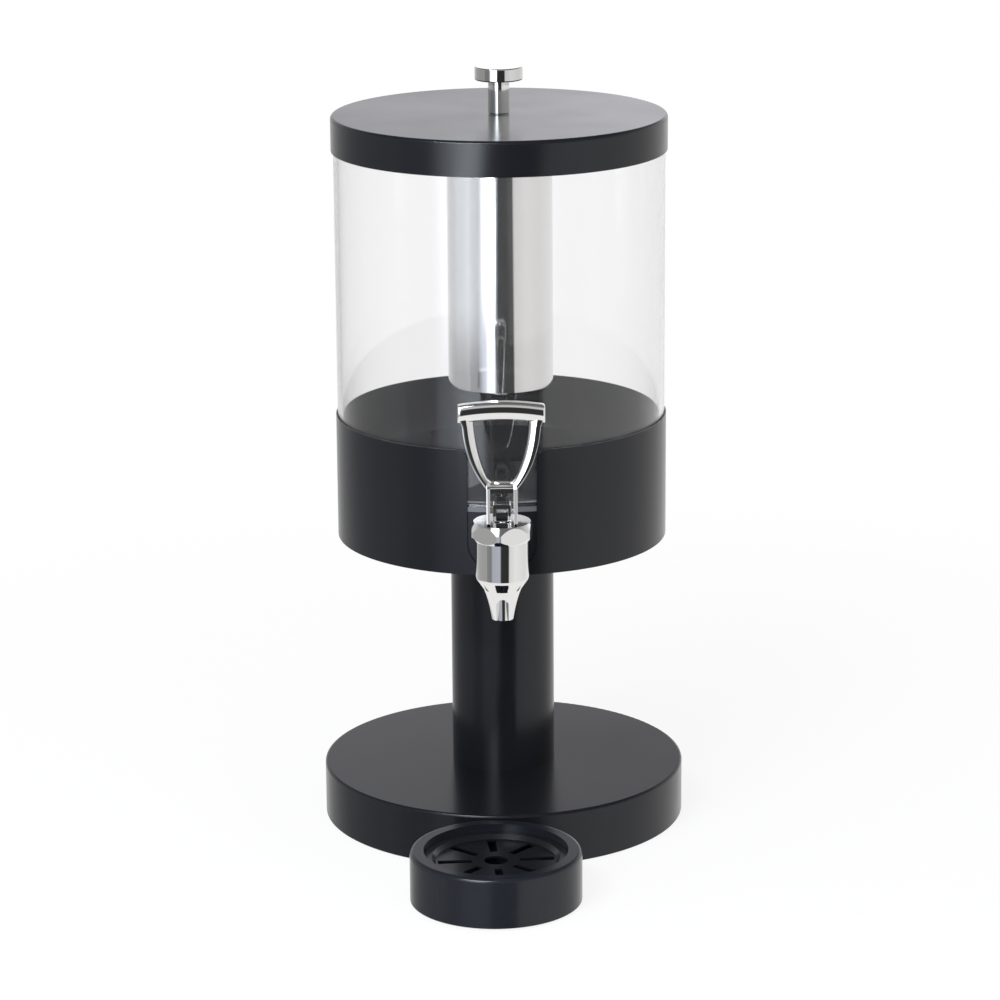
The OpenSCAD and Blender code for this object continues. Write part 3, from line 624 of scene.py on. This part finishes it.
def bar_section(height, inset):
    """The bar's (y, z) section: a crowned front, rounded edges and a flatter back."""
    half = height / 2.0 - inset
    front, back = -BAR_D / 2.0 + inset, BAR_D / 2.0 - inset
    edge = max(BAR_EDGE - inset, BAR_EDGE_LEAST)
    reach = half - edge * 0.5

    def face(z):
        return front + CROWN_R - math.sqrt(CROWN_R ** 2 - (z - CROWN_Z) ** 2)

    crown = [-reach + 2.0 * reach * i / CROWN_STEPS for i in range(CROWN_STEPS + 1)]
    # two points turn each end of the crown into the top or the underside
    turn = [(0.25 * edge, 0.18 * edge), (0.7 * edge, 0.0)]
    points = [(face(z), z) for z in crown]
    points += [(face(reach) + y, half - z) for y, z in turn]
    points += arc(back - edge, half - edge, edge, 90, 0, 5)
    points += arc(back - edge, -half + edge, edge, 0, -90, 5)
    points += [(face(-reach) + y, -half + z) for y, z in reversed(turn)]
    return points


def bar_stations():
    """(x, inset) along the bar, where the inset rounds both its ends."""
    turns = [math.radians(a) for a in (0, 15, 35, 60, 90)]
    start, length = -BAR_W / 2.0 + BAR_END, BAR_W - 2 * BAR_END
    left = [(start - BAR_END * math.cos(a), BAR_END * (1 - math.sin(a))) for a in turns]
    middle = [(start + length * i / BAR_STEPS, 0.0) for i in range(1, BAR_STEPS)]
    return left + middle + [(-x, inset) for x, inset in reversed(left)]


def add_bar(bm):
    centre = HANDLE_H - ARCH_R
    rings = []
    for x, inset in bar_stations():
        top = centre + math.sqrt(ARCH_R ** 2 - x * x)
        low = centre + math.sqrt((ARCH_R - BAR_H) ** 2 - x * x)
        middle = (top + low) / 2.0
        rings.append([from_pin(x, y, middle + z) for y, z in bar_section(top - low, inset)])
    loft(bm, rings)


def arm_edge(curve, flare):
    """The (x, z) points of one edge of the right arm, from the bar down."""
    width, share = flare
    points = []
    for i in range(ARM_STEPS + 1):
        t = i / ARM_STEPS
        x, z = bend(*curve, t)
        points.append((x + width * max(0.0, 1.0 - t / share) ** 2, z))
    return points


def arm_outlines():
    """Outer and inner (x, z) edges of the frame, from the left arm's top round to the right's."""
    outer, inner = arm_edge(ARM_OUTER, FLARE_OUTER), arm_edge(ARM_INNER, FLARE_INNER)
    # the inner foot turns into the crosspiece with a small radius
    x, z = inner[-2]
    inner[-2:] = [(x - 0.10, z + 0.12), (6.1, CROSS_HIGH + 0.15)]
    outer += [(x_out, CROSS_LOW) for x_out, x_in in CROSS_X]
    inner += [(x_in, CROSS_HIGH) for x_out, x_in in CROSS_X]
    right = list(zip(outer, inner))
    left = [((-ox, oz), (-ix, iz)) for (ox, oz), (ix, iz) in right]
    return left + [((0.0, CROSS_LOW), (0.0, CROSS_HIGH))] + right[::-1]


def arm_section(width):
    """(share of the width, y) round an arm, from its outer side over the front to its back."""
    front, back = -ARM_D / 2.0, ARM_D / 2.0
    edge = ARM_EDGE / width
    slope = ARM_SLOPE * width
    low = front + (ARM_ROUND[0][0] - ARM_FLAT) * slope
    return [
        (0.0, back - ARM_BACK_EDGE), (0.0, front + ARM_EDGE),
        (0.3 * edge, front + ARM_EDGE_SOFT), (edge, front),
        (ARM_FLAT - 0.03, front), (ARM_FLAT, front + 0.01),
        (ARM_FLAT + 0.04, front + 0.04 * slope),
        *[(share, low + y) for share, y in ARM_ROUND],
        (1.0, back - ARM_BACK_EDGE), (1.0 - 0.3 * edge, back - ARM_BACK_SOFT), (1.0 - edge, back),
        (edge, back), (0.3 * edge, back - ARM_BACK_SOFT)]


def add_frame(bm):
    rings = []
    for (ox, oz), (ix, iz) in arm_outlines():
        section = arm_section(math.hypot(ix - ox, iz - oz))
        rings.append([
            from_pin(ox + (ix - ox) * share, y, oz + (iz - oz) * share) for share, y in section])
    loft(bm, rings)


def cheek_outline():
    """A cheek's (y, z) outline. Its foot is the lobe that lifts the pin as the handle tilts."""
    steps = 8
    foot = []
    for i in range(steps + 1):
        a = math.radians(TILT_MAX * i / steps)
        r = LOBE_R + LOBE_RISE * a
        foot.append((
            -r * math.sin(a) - LOBE_RISE * math.cos(a),
            -r * math.cos(a) + LOBE_RISE * math.sin(a)))
    top = (CROSS_LOW + CROSS_HIGH) / 2.0
    return [(CHEEK_BACK, top), (CHEEK_BACK, -LOBE_R), *foot, (CHEEK_FRONT, top)]


def add_handle():
    bm = bmesh.new()
    add_bar(bm)
    add_frame(bm)
    cheek = [from_pin(0.0, y, z)[1:] for y, z in cheek_outline()]
    rounded_plate(bm, cheek, -CHEEK_OUT, -CHEEK_IN, CHEEK_EDGE_OUT, CHEEK_EDGE_IN)
    rounded_plate(bm, cheek, CHEEK_IN, CHEEK_OUT, CHEEK_EDGE_IN, CHEEK_EDGE_OUT)
    lintel = [from_pin(0.0, y, z)[1:] for y, z in (
        (LINTEL_FRONT, LINTEL_LOW), (CHEEK_BACK, LINTEL_LOW),
        (CHEEK_BACK, LINTEL_TOP), (LINTEL_FRONT, LINTEL_TOP))]
    rounded_plate(bm, lintel, -LINTEL_HALF, LINTEL_HALF, LINTEL_EDGE, LINTEL_EDGE)
    finish_mesh(bm, "handle_casting", "handle", "chrome", ["tap_handle"])


add_handle()


# ---------------------------------------------------------------- stem

STEM_R, STEM_LOW, STEM_TOP = 3.5, 188.5, 224.9
FLANGE_R, FLANGE_LOW, FLANGE_TOP = 8.0, 197.0, 198.6
STEM_STEPS = 48
HEAD_D = 7.0
# Half width, foot and top from the pin, of the head and of the panel sunk into its front, whose
# black is painted shade
HEAD_BOX, HEAD_CORNER = (5.4, -6.0, 4.5), 1.2
PANEL_BOX, PANEL_CORNER = (3.6, -5.7, 1.9), 0.4
# (inset, depth from the front) of the rings round the head and down into the panel
HEAD_RINGS = ((0.0, HEAD_D), (0.0, 0.40), (0.05, 0.2), (0.15, 0.07), (0.32, 0.0))
PANEL_RINGS = ((0.0, 0.0), (0.1, 0.04), (0.2, 0.15), (0.24, 0.4), (0.26, 3.2))


def rounded_box(x, z0, z1, radius):
    """A rounded rectangle's (x, z) points, always the same number."""
    points = []
    for sx, cz, a in ((1, z1, 0), (-1, z1, 90), (-1, z0, 180), (1, z0, 270)):
        inward = -radius if cz == z1 else radius
        points += arc(sx * (x - radius), cz + inward, radius, a, a + 90, 4)
    return points


def head_ring(box, corner, inset, depth):
    half, low, top = box
    ring = rounded_box(half - inset, low + inset, top - inset, corner)
    return [from_pin(x, -HEAD_D / 2.0 + depth, z) for x, z in ring]


def paint_panel_shade(stem):
    """Gives black plastic to the faces in the sunk panel, as painted shade in the recess."""
    stem.data.materials.append(MATERIALS["black_plastic"])
    half, low, top = PANEL_BOX
    margin, lip = 0.1, 0.2
    for face in stem.data.polygons:
        x, y, z = face.center / MM - Vector(PIN)
        inside = abs(x) < half - margin and low + margin < z < top - margin
        if inside and lip - HEAD_D / 2.0 < y < 0.0:
            face.material_index = 1


def add_stem():
    bm = bmesh.new()
    outline = [
        (0.0, STEM_LOW), (STEM_R, STEM_LOW), (STEM_R, FLANGE_LOW), (FLANGE_R, FLANGE_LOW),
        (FLANGE_R, FLANGE_TOP), (STEM_R, FLANGE_TOP), (STEM_R, STEM_TOP), (0.0, STEM_TOP)]
    lathe(bm, outline, STEM_STEPS, PIN[:2])
    rings = [head_ring(HEAD_BOX, HEAD_CORNER - inset, inset, depth) for inset, depth in HEAD_RINGS]
    rings += [head_ring(PANEL_BOX, PANEL_CORNER, inset, depth) for inset, depth in PANEL_RINGS]
    loft(bm, rings)
    # the sunk panel's faces are painted black as its shade
    paint_panel_shade(finish_mesh(bm, "stem_head", "stem", "chrome", ["tap_stem"]))


add_stem()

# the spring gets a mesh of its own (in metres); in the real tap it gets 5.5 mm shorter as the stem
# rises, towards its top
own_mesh(nodes["tap_spring"])


# ---------------------------------------------------------------- clear tube

TUBE_OUTER, TUBE_INNER = 100.0, 97.0
TUBE_LOW, TUBE_TOP = 221.5, 436.5
TUBE_EDGE = 0.4
TUBE_STEPS = 384


def add_tank_tube():
    bm = bmesh.new()
    inner, outer, edge = TUBE_INNER, TUBE_OUTER, TUBE_EDGE
    lathe(bm, [
        (inner, TUBE_LOW + edge), (inner + edge, TUBE_LOW),
        (outer - edge, TUBE_LOW), (outer, TUBE_LOW + edge),
        (outer, TUBE_TOP - edge), (outer - edge, TUBE_TOP),
        (inner + edge, TUBE_TOP), (inner, TUBE_TOP - edge),
        (inner, TUBE_LOW + edge)], TUBE_STEPS)
    finish_mesh(bm, "tank_tube_clear", "tank", "clear", ["tank_cylinder"])


add_tank_tube()


# ---------------------------------------------------------------- knob

KNOB_BORE, KNOB_R = 3.3, 6.5
KNOB_LOW, KNOB_TOP = 439.4, 457.4
KNOB_EDGE = 0.2
# (inset, rise) of the foot's broken edge, which shows as a fine line on the lid
KNOB_FOOT = ((0.45, 0.0), (0.40, 0.45), (0.12, 0.62), (0.0, 0.85))
KNOB_STEPS = 96


def add_knob_stem():
    bm = bmesh.new()
    lathe(bm, [
        (KNOB_BORE, KNOB_LOW),
        *[(KNOB_R - inset, KNOB_LOW + rise) for inset, rise in KNOB_FOOT],
        (KNOB_R, KNOB_TOP - KNOB_EDGE), (KNOB_R - KNOB_EDGE, KNOB_TOP),
        (KNOB_BORE, KNOB_TOP), (KNOB_BORE, KNOB_LOW)], KNOB_STEPS)
    finish_mesh(bm, "knob_stem_turned", "lid", "chrome", ["knob_stem"])


add_knob_stem()
